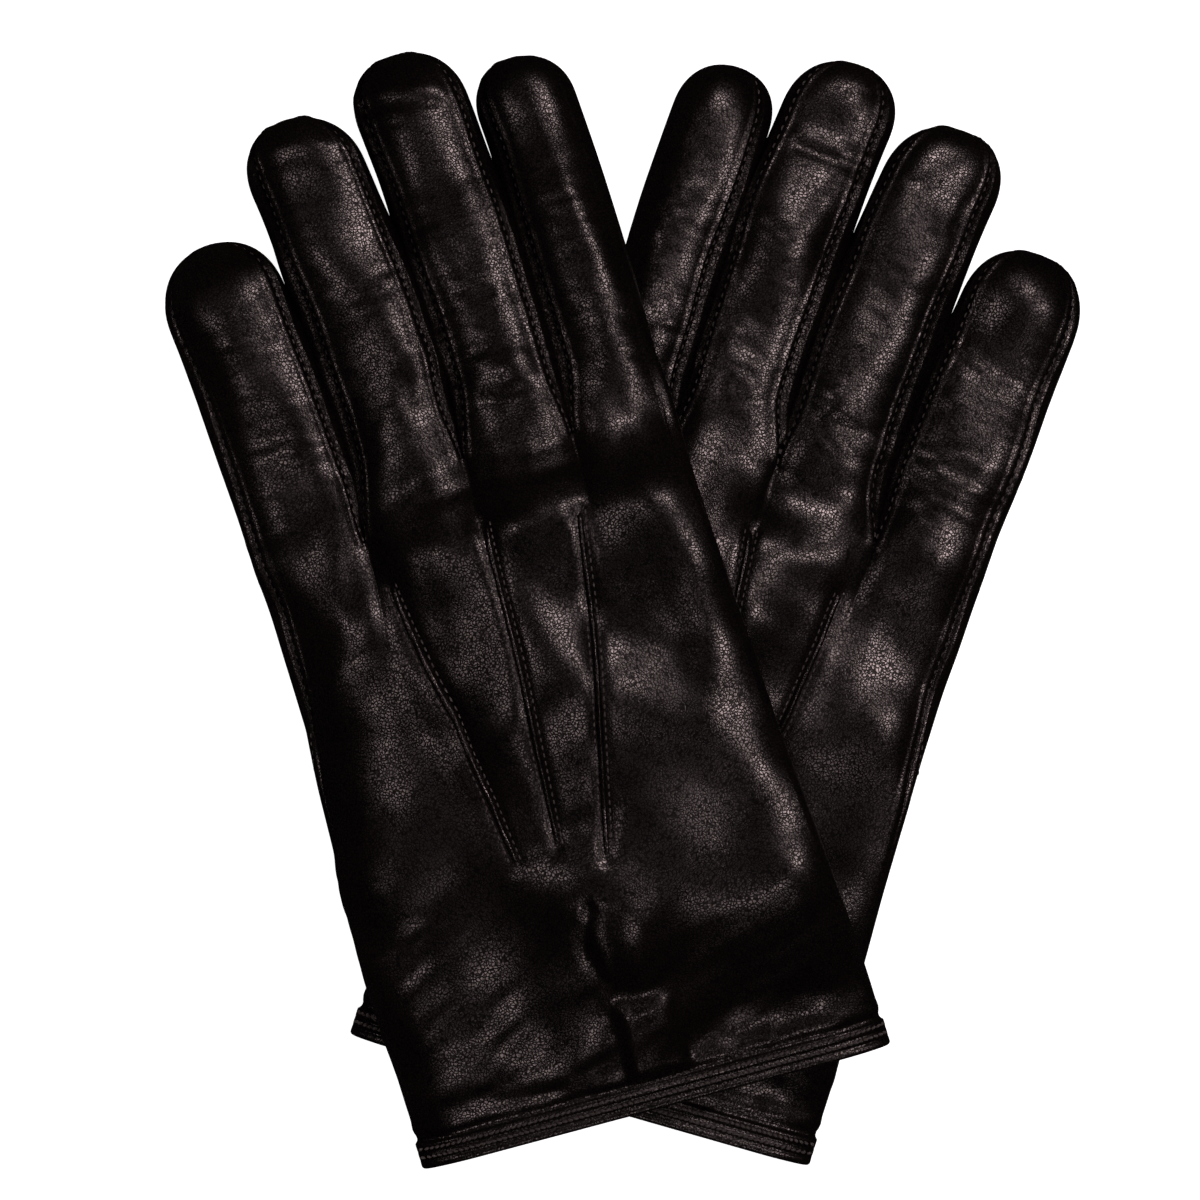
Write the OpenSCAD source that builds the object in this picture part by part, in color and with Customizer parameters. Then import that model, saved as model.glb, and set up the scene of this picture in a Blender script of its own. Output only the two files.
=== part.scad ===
// A pair of leather dress gloves, crossed. The left glove lies on the right one, backs up and thumbs
// folded under the palms. Each glove is drawn in its own frame: u runs across the hand towards the
// index finger, v runs from the cuff to the fingertips, and h is the height above the glove's bed.

/* [Pair] */
// Turn of the left glove, anticlockwise
left_turn = 15; // [13:1:17]
// Turn of the right glove, clockwise
right_turn = 16; // [14:1:18]
// Distance between the middles of the two cuffs
cuff_spread = 18; // [14:1:22]
// Distance from the pair's centre back to the middles of the cuffs
cuff_drop = 117.9; // [117:0.1:119]

/* [Leather] */
// Thickness of the glove leather
leather = 0.9; // [0.8:0.1:1.0]
// Thickness of the turned hem, three layers
hem_t = 1.5; // [1.3:0.1:1.6]
// Width of the turned hem
hem_w = 8; // [7:0.5:9]
// Thickness of the knitted lining
lining_t = 0.5; // [0.4:0.1:0.6]
// Thickness of the sewing thread
thread_t = 0.5; // [0.4:0.1:0.6]

/* [Thumb] */
// Length of the thumb from its mouth to its tip
thumb_len = 72; // [66:1:74]
// Width of the thumb laid flat
thumb_w = 26; // [24:1:28]
// Thickness of the folded thumb
thumb_h = 5.2; // [4.8:0.1:5.3]

/* [Back] */
// Width of a raised point on the back
point_w = 2.6; // [2:0.2:3]
// Height of a raised point on the back
point_h = 0.6; // [0.5:0.1:0.8]

/* [Hidden] */
FINGERS = ["index", "middle", "ring", "little"];
// Each finger: knuckle [u, v], tip [u, v], half widths at the knuckle, middle and tip, and droop on
// the left glove in degrees.
FINGER = [
    [[36.7, 169.5], [32.3, 250.5], [12.1, 12.0, 11.4], 5],
    [[11, 167.5], [3.5, 258.5], [12.8, 13.2, 13.8], 3.5],
    [[-16.3, 165.5], [-25, 250], [13.5, 13.8, 13.6], 1.5],
    [[-46, 152], [-50.5, 226.5], [14.7, 15.2, 13.7], 0.5]
];
// The right index finger is held down by the left glove as far as this, so it folds further along.
PINNED_INDEX = 36;
KNUCKLE_SLOPE = 4.3;
FINGER_T = 12;
TIP_ROUND = 15;
SEAM_ANGLE = 38;
GAP = 0.7;
// Outline of the hand at [v, u]: the little finger's side and the index finger's side.
LITTLE_SIDE = [[0, -57], [100, -57], [130, -58.5], [152, -61], [170, -62]];
INDEX_SIDE = [[0, 57], [20, 57], [50, 54.5], [80, 51.8], [105, 50.3], [130, 49], [175, 48.8]];
// Thickness of the hand laid flat, at [v, thickness].
HAND_T = [[0, 9.4], [60, 9.6], [120, 10.2], [152, 11.4], [170, 12]];
// The three raised points, each from its finger end to its wrist end, as [u, v].
POINTS = [[[-28, 135], [-17.5, 64]], [[-4, 144], [-6.8, 65]], [[20, 140], [4, 62]]];
// The cuffs' common middle, along X.
PAIR_X = -1.3;
// The bed of the left glove: its height on the right glove, the edge of that glove at [v, u], how
// far the bed takes to fall to the table past the edge, and the slope of the knuckles.
BED_H = 17.6;
BED_EDGE = [[0, -67], [84, -34], [121, -9]];
BED_FALL = 40;
BED_SLOPE = [0.12, -0.05];
// The folded thumb lifts the palm by this much, and its mouth is here.
THUMB_LIFT = thumb_h + 0.6;
THUMB_MOUTH = [35, 68];
THUMB_TURN = 12;
THUMB_GAP = 0.2;
MOUTH_R = 12;
// How far inside the outer face the lining lies.
LINING_IN = leather + 0.35;
// Stations along a finger or the thumb: shares of its straight part, then distances from its tip.
STRAIGHT_STATIONS = [0.2, 0.4, 0.6, 0.8];
TIP_STATIONS = [TIP_ROUND, 9, 5];
TIP_STOP = 0.6;

NODES = [for (g = ["left", "right"]) each concat(
    [for (n = ["back_panel", "palm_panel", "hem_band", "back_points", "wrist_elastic", "hand_lining",
        "hem_thread", "point_thread", "side_seam_thread", "thumb_top", "thumb_underside",
        "thumb_lining"]) str(g, "_", n)],
    [for (f = FINGERS, n = ["back", "palm", "fourchette", "lining"]) str(g, "_", f, "_", n)])];
node = "all";

LEATHER_COLOUR = [0.10, 0.07, 0.07];
LINING_COLOUR = [0.13, 0.11, 0.11];
THREAD_COLOUR = [0.05, 0.04, 0.04];

function smooth(x, a, b) = let (t = min(1, max(0, (x - a) / (b - a)))) t * t * (3 - 2 * t);
function lerp(a, b, t) = a + (b - a) * t;
function power(x, p) = sign(x) * pow(abs(x), p);
function unit(a) = [-sin(a), cos(a)];
// A power curve with a flat top, for sections that lie flat.
function flat_power(x, p) = sign(x) * min(1, 1.04 * pow(abs(x), p));
function steps(a, b, n) = [for (i = [0:n]) lerp(a, b, i / n)];

// Height of what a glove lies on: the table for the right one, the right glove for the left one.
function bed(top, u, v) = !top ? 0 : let (
    knuckles = BED_H + BED_SLOPE[0] * (u - 37) + BED_SLOPE[1] * (v - 159),
    edge = max(0, knuckles) * smooth(v, 30, 130),
    rest = lerp(edge, BED_H, smooth(u - lookup(v, BED_EDGE), -BED_FALL, 0)))
    lerp(rest * lerp(0.62, 1, smooth(v, 0, 50)), knuckles, smooth(v, 104, 146));
function bed_normal(top, u, v) = let (
    n = [(bed(top, u - 1, v) - bed(top, u + 1, v)) / 2, (bed(top, u, v - 1) - bed(top, u, v + 1)) / 2, 1])
    n / norm(n);
function on_bed(top, u, v, h) = [u, v, bed(top, u, v)] + h * bed_normal(top, u, v);

// The palm rises over the folded thumb.
function lift(u, v) = THUMB_LIFT * smooth(u, -32, -4) * smooth(v, 28, 54) * (1 - smooth(v, 138, 160));

// A point of the hand's skin: a flat rounded section at v, angle a, and inset from the outer face.
function hand_point(top, v, a, inset) = let (
    left = lookup(v, LITTLE_SIDE),
    right = lookup(v, INDEX_SIDE),
    t = lookup(v, HAND_T),
    u = (left + right) / 2 + ((right - left) / 2 - inset) * power(cos(a), 0.5),
    h = lift(u, v) + t / 2 + (t / 2 - inset) * flat_power(sin(a), 0.5))
    on_bed(top, u, v, h);
// Height of the hand's back above the bed at u and v.
function back_height(u, v, inset) = let (
    left = lookup(v, LITTLE_SIDE),
    right = lookup(v, INDEX_SIDE),
    t = lookup(v, HAND_T),
    s = min(1, abs(2 * u - left - right) / (right - left)))
    lift(u, v) + t / 2 + (t / 2 - inset) * flat_power(1 - pow(s, 4), 0.25);

// Where the hand's skin ends and the fingers begin, as v at each u.
function knuckle_line(f) = FINGER[f][0][1];
function hand_end(u) = u < -30.6
    ? knuckle_line(3) + tan(KNUCKLE_SLOPE) * (u + 46) - GAP
    : knuckle_line(2) + tan(KNUCKLE_SLOPE) * (u + 16.3) - GAP;

// Half width of a finger at a share of its length, with the round of its tip.
function finger_half(f, along) = let (w = FINGER[f][2])
    lookup(along, [[0, w[0]], [0.45, w[1]], [0.85, w[2]], [1, w[2]]]);
function finger_length(f) = norm(FINGER[f][1] - FINGER[f][0]);
function tip_round(rest) = let (x = max(0, 1 - rest / TIP_ROUND)) pow(1 - pow(x, 2.4), 1 / 2.4);
// A point of a finger at distance l from its knuckle, section angle a; flat is 0 on the tip's edge.
function finger_point(top, f, l, a, inset, flat = 1) = let (
    long = finger_length(f),
    reach = l * (long - inset) / long,
    round_off = tip_round(max(TIP_STOP, long - l)),
    half = finger_half(f, l / long) * round_off - inset,
    thick = FINGER_T / 2 * round_off - inset,
    dir = (FINGER[f][1] - FINGER[f][0]) / long,
    p = reach * dir + half * power(cos(a), 0.77) * [dir[1], -dir[0]],
    h = FINGER_T / 2 + thick * flat_power(sin(a), 0.77) * flat,
    across = [cos(KNUCKLE_SLOPE), sin(KNUCKLE_SLOPE)],
    ahead = [-across[1], across[0]],
    droop = top ? FINGER[f][3] : 0,
    far = (p * ahead) * cos(droop) + (h - FINGER_T) * sin(droop),
    high = FINGER_T - (p * ahead) * sin(droop) + (h - FINGER_T) * cos(droop),
    q = FINGER[f][0] + (p * across) * across + far * ahead)
    on_bed(top, q[0], q[1], high);

// A point of the thumb at distance l from its mouth; it is flat and stays at one height.
function thumb_point(top, l, a, inset, flat = 1) = let (
    round_off = tip_round(max(TIP_STOP, thumb_len - l)),
    base_round = lerp(0.8, 1, smooth(l, -MOUTH_R, 14)),
    half = thumb_w / 2 * round_off * base_round - inset,
    thick = thumb_h / 2 * round_off - inset,
    dir = unit(THUMB_TURN),
    reach = l > 0 ? l * (thumb_len - inset) / thumb_len : l,
    p = THUMB_MOUTH + reach * dir + half * power(cos(a), 0.6) * [dir[1], -dir[0]])
    [p[0], p[1], bed(top, 25, 95) + THUMB_GAP + thumb_h / 2 + thick * power(sin(a), 0.6) * flat];

// A closed solid between an outer and an inner grid of points. Cells whose keep is false are open.
module skin(outer, inner, keep) {
    rows = len(outer);
    cols = len(outer[0]);
    n = rows * cols;
    function at(i, j) = i * cols + j;
    function inside(i, j) = i >= 0 && j >= 0 && i < rows - 1 && j < cols - 1;
    function kept(i, j) = inside(i, j) && (is_undef(keep) || keep[i][j]);
    quads = [for (i = [0:rows - 2], j = [0:cols - 2]) if (kept(i, j)) let (
        q = [at(i, j), at(i, j + 1), at(i + 1, j + 1), at(i + 1, j)],
        open = [!kept(i - 1, j), !kept(i, j + 1), !kept(i + 1, j), !kept(i, j - 1)])
        each concat(
            [q, [q[0] + n, q[3] + n, q[2] + n, q[1] + n]],
            [for (k = [0:3]) if (open[k]) let (a = q[k], b = q[(k + 1) % 4]) [b, a, a + n, b + n]])];
    faces = [for (q = quads) each [[q[0], q[1], q[2]], [q[0], q[2], q[3]]]];
    polyhedron([for (r = concat(outer, inner)) each r], faces, convexity = 6);
}

// A square cord through points, lying on them, for thread and for the raised points.
module cord_on(path, side, up) {
    n = len(path);
    rings = [for (i = [0:n - 1]) let (
        d = path[min(n - 1, i + 1)] - path[max(0, i - 1)],
        s = cross(d, [0, 0, 1]) / norm(cross(d, [0, 0, 1])) * side / 2)
        [path[i] - s, path[i] + s, path[i] + s * 0.7 + [0, 0, up], path[i] - s * 0.7 + [0, 0, up]]];
    faces = concat(
        [[3, 2, 1, 0], [for (k = [0:3]) (n - 1) * 4 + k]],
        [for (i = [0:n - 2], k = [0:3]) let (a = i * 4 + k, b = i * 4 + (k + 1) % 4) [a, b, b + 4, a + 4]]);
    polyhedron([for (r = rings) each r], faces, convexity = 4);
}

// Puts a glove in its place in the pair: the right glove is the left one's mirror image.
module place(top) {
    if (top) translate([PAIR_X + cuff_spread / 2, -cuff_drop, 0]) rotate(left_turn) children();
    else translate([PAIR_X - cuff_spread / 2, -cuff_drop, 0]) rotate(-right_turn) mirror([1, 0, 0]) children();
}

// Stations of the hand's skin between the hem and the knuckles, and round its section. Two of the
// angles meet in the step between the little and the ring finger.
HAND_ROWS = concat(steps(0, 0.4, 5), steps(0.47, 1, 9));
END_MIDDLE = -6.3;
END_HALF = 55.2;
function angle_at(u) = acos(power((u - END_MIDDLE) / END_HALF, 2));
MIDDLE_ANGLES = [for (u = [28, 16, 6, -2, -9, -16, -23, -30, -31.2, -42]) angle_at(u)];
BACK_ANGLES = concat([0, 13, 27, 42, 56], MIDDLE_ANGLES, [126, 138, 153, 167, 180]);
PALM_ANGLES = [for (i = [len(BACK_ANGLES) - 1:-1:0]) 360 - BACK_ANGLES[i]];
function hand_v(r, a, from_v) = lerp(from_v, hand_end(END_MIDDLE + END_HALF * power(cos(a), 0.5)), r);
function hand_grid(top, angles, inset, from_v) = [for (r = HAND_ROWS) [for (a = angles)
    hand_point(top, hand_v(r, a, from_v), a, inset)]];
// The palm's thumb hole, as the cells of its grid.
function palm_keep() = [for (i = [0:len(HAND_ROWS) - 2]) [for (j = [0:len(PALM_ANGLES) - 2])
    !(i >= 4 && i <= 7 && j >= 14 && j <= 15)]];

function stations(from, long, inset) = concat(
    [from],
    [for (s = STRAIGHT_STATIONS) if (s * (long - TIP_ROUND) > from + 2) s * (long - TIP_ROUND)],
    [for (rest = TIP_STATIONS) long - rest],
    [long - TIP_STOP - 1.5 * inset]);
// A finger's strip between two section angles, closed at the tip.
function strip(top, f, a0, a1, cells, inset, from) = let (long = finger_length(f)) concat(
    [for (l = stations(from, long, inset)) [for (a = steps(a0, a1, cells))
        finger_point(top, f, l, a, inset)]],
    [[for (a = steps(a0, a1, cells)) finger_point(top, f, long, a, inset, 0)]]);
// Only the index finger has no fourchette on its right, and only the little finger none on its left.
function back_angles(f) = [f == 0 ? 0 : SEAM_ANGLE, 180 - SEAM_ANGLE];
function palm_angles(f) = [f == 3 ? 180 - SEAM_ANGLE : 180 + SEAM_ANGLE, f == 0 ? 360 : 360 - SEAM_ANGLE];
function start_of(top, f) = !top && f == 0 ? PINNED_INDEX + GAP : GAP;

module finger_strip(top, f, angles, cells) {
    from = start_of(top, f);
    skin(strip(top, f, angles[0], angles[1], cells, 0, from),
        strip(top, f, angles[0], angles[1], cells, leather, from));
}
// The part of the right index finger that is held down belongs to the hand.
function pinned_grid(angles, cells, inset) = [for (l = steps(GAP / 2, PINNED_INDEX - GAP, 4))
    [for (a = steps(angles[0], angles[1], cells)) finger_point(false, 0, l, a, inset)]];
module pinned_strip(angles, cells) {
    skin(pinned_grid(angles, cells, 0), pinned_grid(angles, cells, leather));
}

module back_panel(top) {
    color(LEATHER_COLOUR) {
        skin(hand_grid(top, BACK_ANGLES, 0, hem_w), hand_grid(top, BACK_ANGLES, leather, hem_w));
        if (!top) pinned_strip(back_angles(0), 5);
    }
}
module palm_panel(top) {
    color(LEATHER_COLOUR) {
        skin(hand_grid(top, PALM_ANGLES, 0, hem_w), hand_grid(top, PALM_ANGLES, leather, hem_w), palm_keep());
        if (!top) {
            pinned_strip(palm_angles(0), 5);
            pinned_strip([180 - SEAM_ANGLE, 180 + SEAM_ANGLE], 3);
        }
    }
}
// The turned hem, as its back half and its palm half.
function hem_grid(top, angles, inset) = [for (v = [0, hem_w]) [for (a = angles)
    hand_point(top, v, a, inset)]];
module hem_band(top) {
    color(LEATHER_COLOUR) for (angles = [BACK_ANGLES, PALM_ANGLES])
        skin(hem_grid(top, angles, 0), hem_grid(top, angles, hem_t));
}
module back_points(top) {
    color(LEATHER_COLOUR) for (p = POINTS)
        cord_on([for (t = steps(0, 1, 12)) let (q = lerp(p[0], p[1], t))
            on_bed(top, q[0], q[1], back_height(q[0], q[1], 0) + 0.5)], point_w, point_h);
}
// An elastic strip sewn inside the palm at the wrist.
function elastic_grid(top, inset) = [for (v = [58, 65]) [for (a = PALM_ANGLES) if (a > 240 && a < 285)
    hand_point(top, v, a, inset)]];
module wrist_elastic(top) {
    color("dimgray") skin(elastic_grid(top, leather + 0.05), elastic_grid(top, leather + 0.25));
}
// The knitted lining of the hand, as its back half and its palm half.
module hand_lining(top) {
    from_v = hem_w + 0.2;
    color(LINING_COLOUR) for (half = [BACK_ANGLES, PALM_ANGLES]) {
        angles = [for (a = half) min(half[0] + 178.5, max(half[0] + 1.5, a))];
        skin(hand_grid(top, angles, LINING_IN, from_v), hand_grid(top, angles, LINING_IN + lining_t, from_v),
            half[0] == 0 ? undef : palm_keep());
    }
}
// Two rows of stitching across the back of the hem, drawn as cords.
module hem_thread(top) {
    color(THREAD_COLOUR) for (v = [4.2, 7.2])
        cord_on([for (a = BACK_ANGLES) if (a > 9 && a < 171) hand_point(top, v, a, -0.2)], thread_t, thread_t);
}
module point_thread(top) {
    color(THREAD_COLOUR) for (p = POINTS, s = [-1, 1])
        cord_on([for (t = steps(0, 1, 12)) let (q = lerp(p[0], p[1], t) + [s * (point_w / 2 + 0.6), 0])
            on_bed(top, q[0], q[1], back_height(q[0], q[1], 0) + 0.3)], thread_t, thread_t);
}
// The closing seam, on the back just inside the little finger's side.
module side_seam_thread(top) {
    color(THREAD_COLOUR)
        cord_on([for (r = HAND_ROWS) let (
            v = hand_v(r * 0.99 + 0.005, 168, hem_w),
            u = lookup(v, LITTLE_SIDE) + lerp(2.6, 4.2, smooth(v, 80, 140)))
            on_bed(top, u, v, back_height(u, v, 0) + 0.4)], thread_t, thread_t);
}

module finger_back(top, f) {
    color(LEATHER_COLOUR) finger_strip(top, f, back_angles(f), f == 0 ? 5 : 4);
}
module finger_palm(top, f) {
    color(LEATHER_COLOUR) finger_strip(top, f, palm_angles(f), f == 1 || f == 2 ? 4 : 5);
}
// The side gussets of a finger, one towards each neighbour. They end where the tip closes.
function gusset_grid(top, f, mid, inset) = let (
    grid = strip(top, f, mid - SEAM_ANGLE, mid + SEAM_ANGLE, 3, inset, start_of(top, f)))
    [for (i = [0:len(grid) - 2]) grid[i]];
module finger_fourchette(top, f) {
    color(LEATHER_COLOUR) for (mid = f == 0 ? [180] : f == 3 ? [0] : [0, 180])
        skin(gusset_grid(top, f, mid, 0), gusset_grid(top, f, mid, leather));
}
module finger_lining(top, f) {
    from = start_of(top, f);
    color(LINING_COLOUR) for (a = [0, 180])
        skin(strip(top, f, a + 2, a + 178, 5, LINING_IN, from),
            strip(top, f, a + 2, a + 178, 5, LINING_IN + lining_t, from));
}

function thumb_grid(top, a0, a1, inset, from) = concat(
    [for (l = stations(from, thumb_len, inset)) [for (a = steps(a0, a1, 6)) thumb_point(top, l, a, inset)]],
    [[for (a = steps(a0, a1, 6)) thumb_point(top, thumb_len, a, inset, 0)]]);
module thumb_top(top) {
    color(LEATHER_COLOUR)
        skin(thumb_grid(top, 0, 180, 0, MOUTH_R), thumb_grid(top, 0, 180, leather, MOUTH_R));
}
module thumb_underside(top) {
    color(LEATHER_COLOUR)
        skin(thumb_grid(top, 180, 360, 0, -MOUTH_R), thumb_grid(top, 180, 360, leather, -MOUTH_R));
}
module thumb_lining(top) {
    inset = leather + 0.1;
    color(LINING_COLOUR) for (a = [0, 180])
        skin(thumb_grid(top, a + 2, a + 178, inset, MOUTH_R),
            thumb_grid(top, a + 2, a + 178, inset + lining_t, MOUTH_R));
}

module glove(top) {
    side = top ? "left_" : "right_";
    function drawn(name) = node == "all" || node == str(side, name);
    if (drawn("back_panel")) place(top) back_panel(top);
    if (drawn("palm_panel")) place(top) palm_panel(top);
    if (drawn("hem_band")) place(top) hem_band(top);
    if (drawn("back_points")) place(top) back_points(top);
    if (drawn("wrist_elastic")) place(top) wrist_elastic(top);
    if (drawn("hand_lining")) place(top) hand_lining(top);
    if (drawn("hem_thread")) place(top) hem_thread(top);
    if (drawn("point_thread")) place(top) point_thread(top);
    if (drawn("side_seam_thread")) place(top) side_seam_thread(top);
    if (drawn("thumb_top")) place(top) thumb_top(top);
    if (drawn("thumb_underside")) place(top) thumb_underside(top);
    if (drawn("thumb_lining")) place(top) thumb_lining(top);
    for (f = [0:3]) {
        if (drawn(str(FINGERS[f], "_back"))) place(top) finger_back(top, f);
        if (drawn(str(FINGERS[f], "_palm"))) place(top) finger_palm(top, f);
        if (drawn(str(FINGERS[f], "_fourchette"))) place(top) finger_fourchette(top, f);
        if (drawn(str(FINGERS[f], "_lining"))) place(top) finger_lining(top, f);
    }
}
glove(true);
glove(false);
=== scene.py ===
"""A pair of near-black leather dress gloves, crossed: the left one lies on the right one, backs up.

Each glove is worked out in its own flat frame, in millimetres: u runs across the hand towards the index
finger, v from the cuff to the fingertips, and h is the height above the glove's bed. The flat shell gets
its wrinkles and seams, is laid on its bed, turned into its place in the pair, and split into the leather
pieces it is sewn from. Thumbs, hems, raised points, stitches and linings are built on the same surface.
"""
import math

import bpy
import numpy as np
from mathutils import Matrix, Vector


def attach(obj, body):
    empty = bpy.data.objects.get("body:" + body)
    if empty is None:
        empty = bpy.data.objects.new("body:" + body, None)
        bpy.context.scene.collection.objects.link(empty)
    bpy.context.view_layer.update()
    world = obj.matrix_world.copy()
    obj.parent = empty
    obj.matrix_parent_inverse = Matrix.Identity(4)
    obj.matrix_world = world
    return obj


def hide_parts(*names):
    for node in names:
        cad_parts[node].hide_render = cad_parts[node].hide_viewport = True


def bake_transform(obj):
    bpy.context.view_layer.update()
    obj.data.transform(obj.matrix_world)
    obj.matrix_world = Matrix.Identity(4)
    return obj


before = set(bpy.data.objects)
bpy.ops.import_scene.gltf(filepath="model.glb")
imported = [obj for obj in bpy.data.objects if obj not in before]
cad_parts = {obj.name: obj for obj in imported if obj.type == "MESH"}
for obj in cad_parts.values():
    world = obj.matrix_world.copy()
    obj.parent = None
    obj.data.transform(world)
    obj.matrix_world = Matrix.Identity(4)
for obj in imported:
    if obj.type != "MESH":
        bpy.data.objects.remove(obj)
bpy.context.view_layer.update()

MM = 0.001
SIDES = ("left", "right")
FINGERS = ("little", "ring", "middle", "index")

# Where each glove lies: the middle of its cuff, its turn in degrees and its mirroring.
PLACE = {"left": (7.7, -117.9, 15, 1), "right": (-10.3, -117.9, -16, -1)}

# ---------------------------------------------------------------- the flat pattern, in millimetres
# Outline of the hand at [v, u].
LITTLE_EDGE = ((0, -57.4), (30, -57.9), (60, -56.9), (95, -57.0), (125, -58.0), (145, -59.2), (160, -60.6))
INDEX_EDGE = ((0, 57.6), (20, 57.0), (50, 54.2), (83, 51.4), (128, 48.8), (158, 48.3), (175, 48.0))
# The closing seam runs this far inside the little finger's edge, at [v, distance].
SEAM_INSET = ((0, 1.9), (85, 1.9), (122, 3.2), (160, 3.2))
FOLD_INSET = 2.0
# The ends of the hand's back: its corners and the three crotches between the fingers.
CROTCHES = ((-56.0, 145), (-31.2, 147), (-3.4, 160), (23.2, 159), (46.3, 158))
# Each finger: its tip, sideways bow, half widths at four shares of its length, and how wide its side
# shows past the back's edge, towards the little finger and towards the index finger.
FINGER_SHAPE = {
    "little": ((-51.2, 227), 0.0, (14.6, 15.2, 15.0, 14.2), (3.2, 1.7)),
    "ring": ((-25.3, 250.7), 2.6, (14.0, 14.1, 14.3, 14.3), (3.4, 1.7)),
    "middle": ((4.0, 259.3), 2.0, (13.0, 13.0, 13.6, 13.8), (3.4, 1.7)),
    "index": ((31.8, 250.7), 1.2, (12.2, 12.0, 12.2, 12.0), (3.3, 2.6)),
}
HAND_THICKNESS = ((0, 8.6), (60, 9.4), (120, 10.4), (152, 11.4), (175, 11.8))
FINGER_THICKNESS = 11.8
# The sides of neighbouring fingers swell by this much towards each other above the crotches.
GAP_FILL = 1.0
# A finger's side starts this far below the edge of its back.
WELT_DROP = 0.7
SEAM_HEIGHT = 0.74
UNDER_HEIGHT = 0.10
HEM_WIDTH = 6.2
HEM_THICKNESS = 1.5
LINING_DEPTH = 1.4
# The raised points on the back, from the finger end to the wrist end.
POINTS = (((-26.8, 134.5), (-17.0, 65)), ((-1.6, 143.5), (-6.4, 66.5)), ((21, 140.5), (4.4, 61.5)))
POINT_WIDTH, POINT_HEIGHT = 2.0, 1.3

# Wrinkles of each glove: a path in the flat frame, depth, half width, and the height of the ridge on its
# left as a share of the depth. A negative depth is a ridge.
CREASES = {
    "left": (
        (((-9, 248), (2, 246.5), (12, 244)), 1.0, 1.6, 0.8),
        (((-4, 251), (3, 252.5), (8, 251.5)), 0.35, 0.9, 0.3),
        (((-5, 242), (3, 241)), 0.3, 1.0, 0.0),
        (((-33, 240), (-23, 240.5), (-13, 238)), 0.7, 1.5, 0.6),
        (((-18, 203), (-15, 206), (-11, 203)), 0.45, 1.1, 0.3),
        (((0, 199), (7, 198), (13, 196)), 0.5, 1.2, 0.4),
        (((-12, 182), (-12, 176)), 0.8, 2.2, 0.0),
        (((-28, 187), (-22, 185), (-17, 188)), 0.4, 1.4, 0.4),
        (((5, 171.5), (10, 170.5), (17, 171)), 0.5, 1.3, 0.4),
        (((-14, 152), (1, 153.5), (13, 151.5), (25, 152.5)), 0.55, 1.7, 0.5),
        (((34, 236), (39, 208), (42, 188)), -0.55, 2.4, 0.0),
        (((36, 191), (35, 170)), -0.4, 2.6, 0.0),
        (((40, 112), (38, 93), (35, 76)), -0.9, 4.5, 0.0),
        (((-18, 63.5), (-7, 64.5), (4, 60)), 0.28, 0.8, 0.5),
        (((-5, 50), (-2, 41), (-5, 31), (-1.5, 27)), -0.9, 1.6, 0.0),
        (((-1.5, 27), (-2, 18), (-2.5, 11)), -0.8, 1.5, 0.0),
        (((-6, 52), (5, 46)), 0.5, 1.4, 0.5),
        (((-3, 51), (-6.5, 43), (-4, 35)), 1.6, 1.2, 0.3),
        (((-58, 61), (-49, 63.5)), 0.4, 1.2, 0.5),
        (((-58, 49), (-50, 52), (-44, 56)), 0.45, 1.3, 0.5),
        (((-54, 41), (-42, 46.5)), 0.45, 1.2, 0.5),
        (((-56, 70), (-46, 76), (-42, 83)), 0.4, 1.3, 0.4),
        (((-53, 14), (-41, 15), (-31, 10), (-22, 11)), 0.55, 1.8, 0.6),
        (((22, 12), (34, 16), (44, 12)), 0.4, 1.8, 0.5),
    ),
    "right": (
        (((-4, 234), (5, 234.5), (13, 235.5)), 0.85, 1.6, 0.7),
        (((-5, 253.5), (4, 251.5)), 0.45, 1.1, 0.4),
        (((-6, 244), (2, 244)), 0.3, 1.0, 0.3),
        (((-24, 234), (-25, 225)), 0.4, 1.0, 0.3),
        (((-30, 234), (-28.5, 226)), 0.4, 1.0, 0.3),
        (((-22, 236), (-15, 234.5)), 0.35, 1.0, 0.3),
        (((13, 185), (6, 183.5), (11, 176)), 0.6, 1.8, 0.3),
        (((-29, 176.5), (-22, 173.5), (-14, 174)), 0.65, 1.5, 0.6),
        (((-30, 168), (-20, 166)), 0.35, 1.4, 0.3),
        (((-54, 196), (-45, 194), (-39, 196)), 0.35, 1.3, 0.4),
        (((-50, 20), (-38, 24), (-30, 19)), 0.5, 1.8, 0.5),
        (((44, 40), (50, 58)), 0.5, 1.8, 0.4),
        (((36, 24), (48, 30)), 0.45, 1.6, 0.4),
    ),
}
# Broad bumps of each glove: middle, radii and height.
BUMPS = {
    "left": (((-6, 187), (6, 5), 1.2), ((14, 176), (6, 5), 1.0), ((-47, 107), (9, 19), 1.1),
             ((3.4, 18), (6.5, 9.5), 1.0), ((-50, 48), (9, 12), 0.6), ((0, 215), (7, 14), 0.5),
             ((-20, 215), (7, 12), 0.4), ((24, 112), (9, 24), 0.5), ((-49, 202), (7, 10), 0.5),
             ((5, 41), (6.5, 12), 1.7)),
    "right": (((-16, 180), (6, 4.5), 0.8), ((10, 216), (6, 13), 0.5), ((-23, 210), (7, 12), 0.5),
              ((-50, 210), (7, 9), 0.5), ((-45, 60), (9, 16), 0.7), ((26, 232), (6, 10), 0.4)),
}
# The square-edged plateau over the left wrist: its middle, half sizes, edge softness and height.
PLATEAU = ((3.4, 18.5), (6.6, 9.6), 2.4, 1.7)

# Random swells and wrinkles: height and size.
BROAD_SWELL, HAND_SWELL, FINE_SWELL = (1.8, 42), (0.55, 21), (0.06, 11)
CUFF_SWELL, FINGER_SWELL = (0.14, 10), (0.5, 21)
FINGER_WRINKLES, DRAG_LINES, WRIST_WRINKLES = (0.1, 7), (0.12, 8), (0.12, 7)
# The creases above are cut to this share of their depth.
CREASE_SHARE = 0.4
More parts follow.
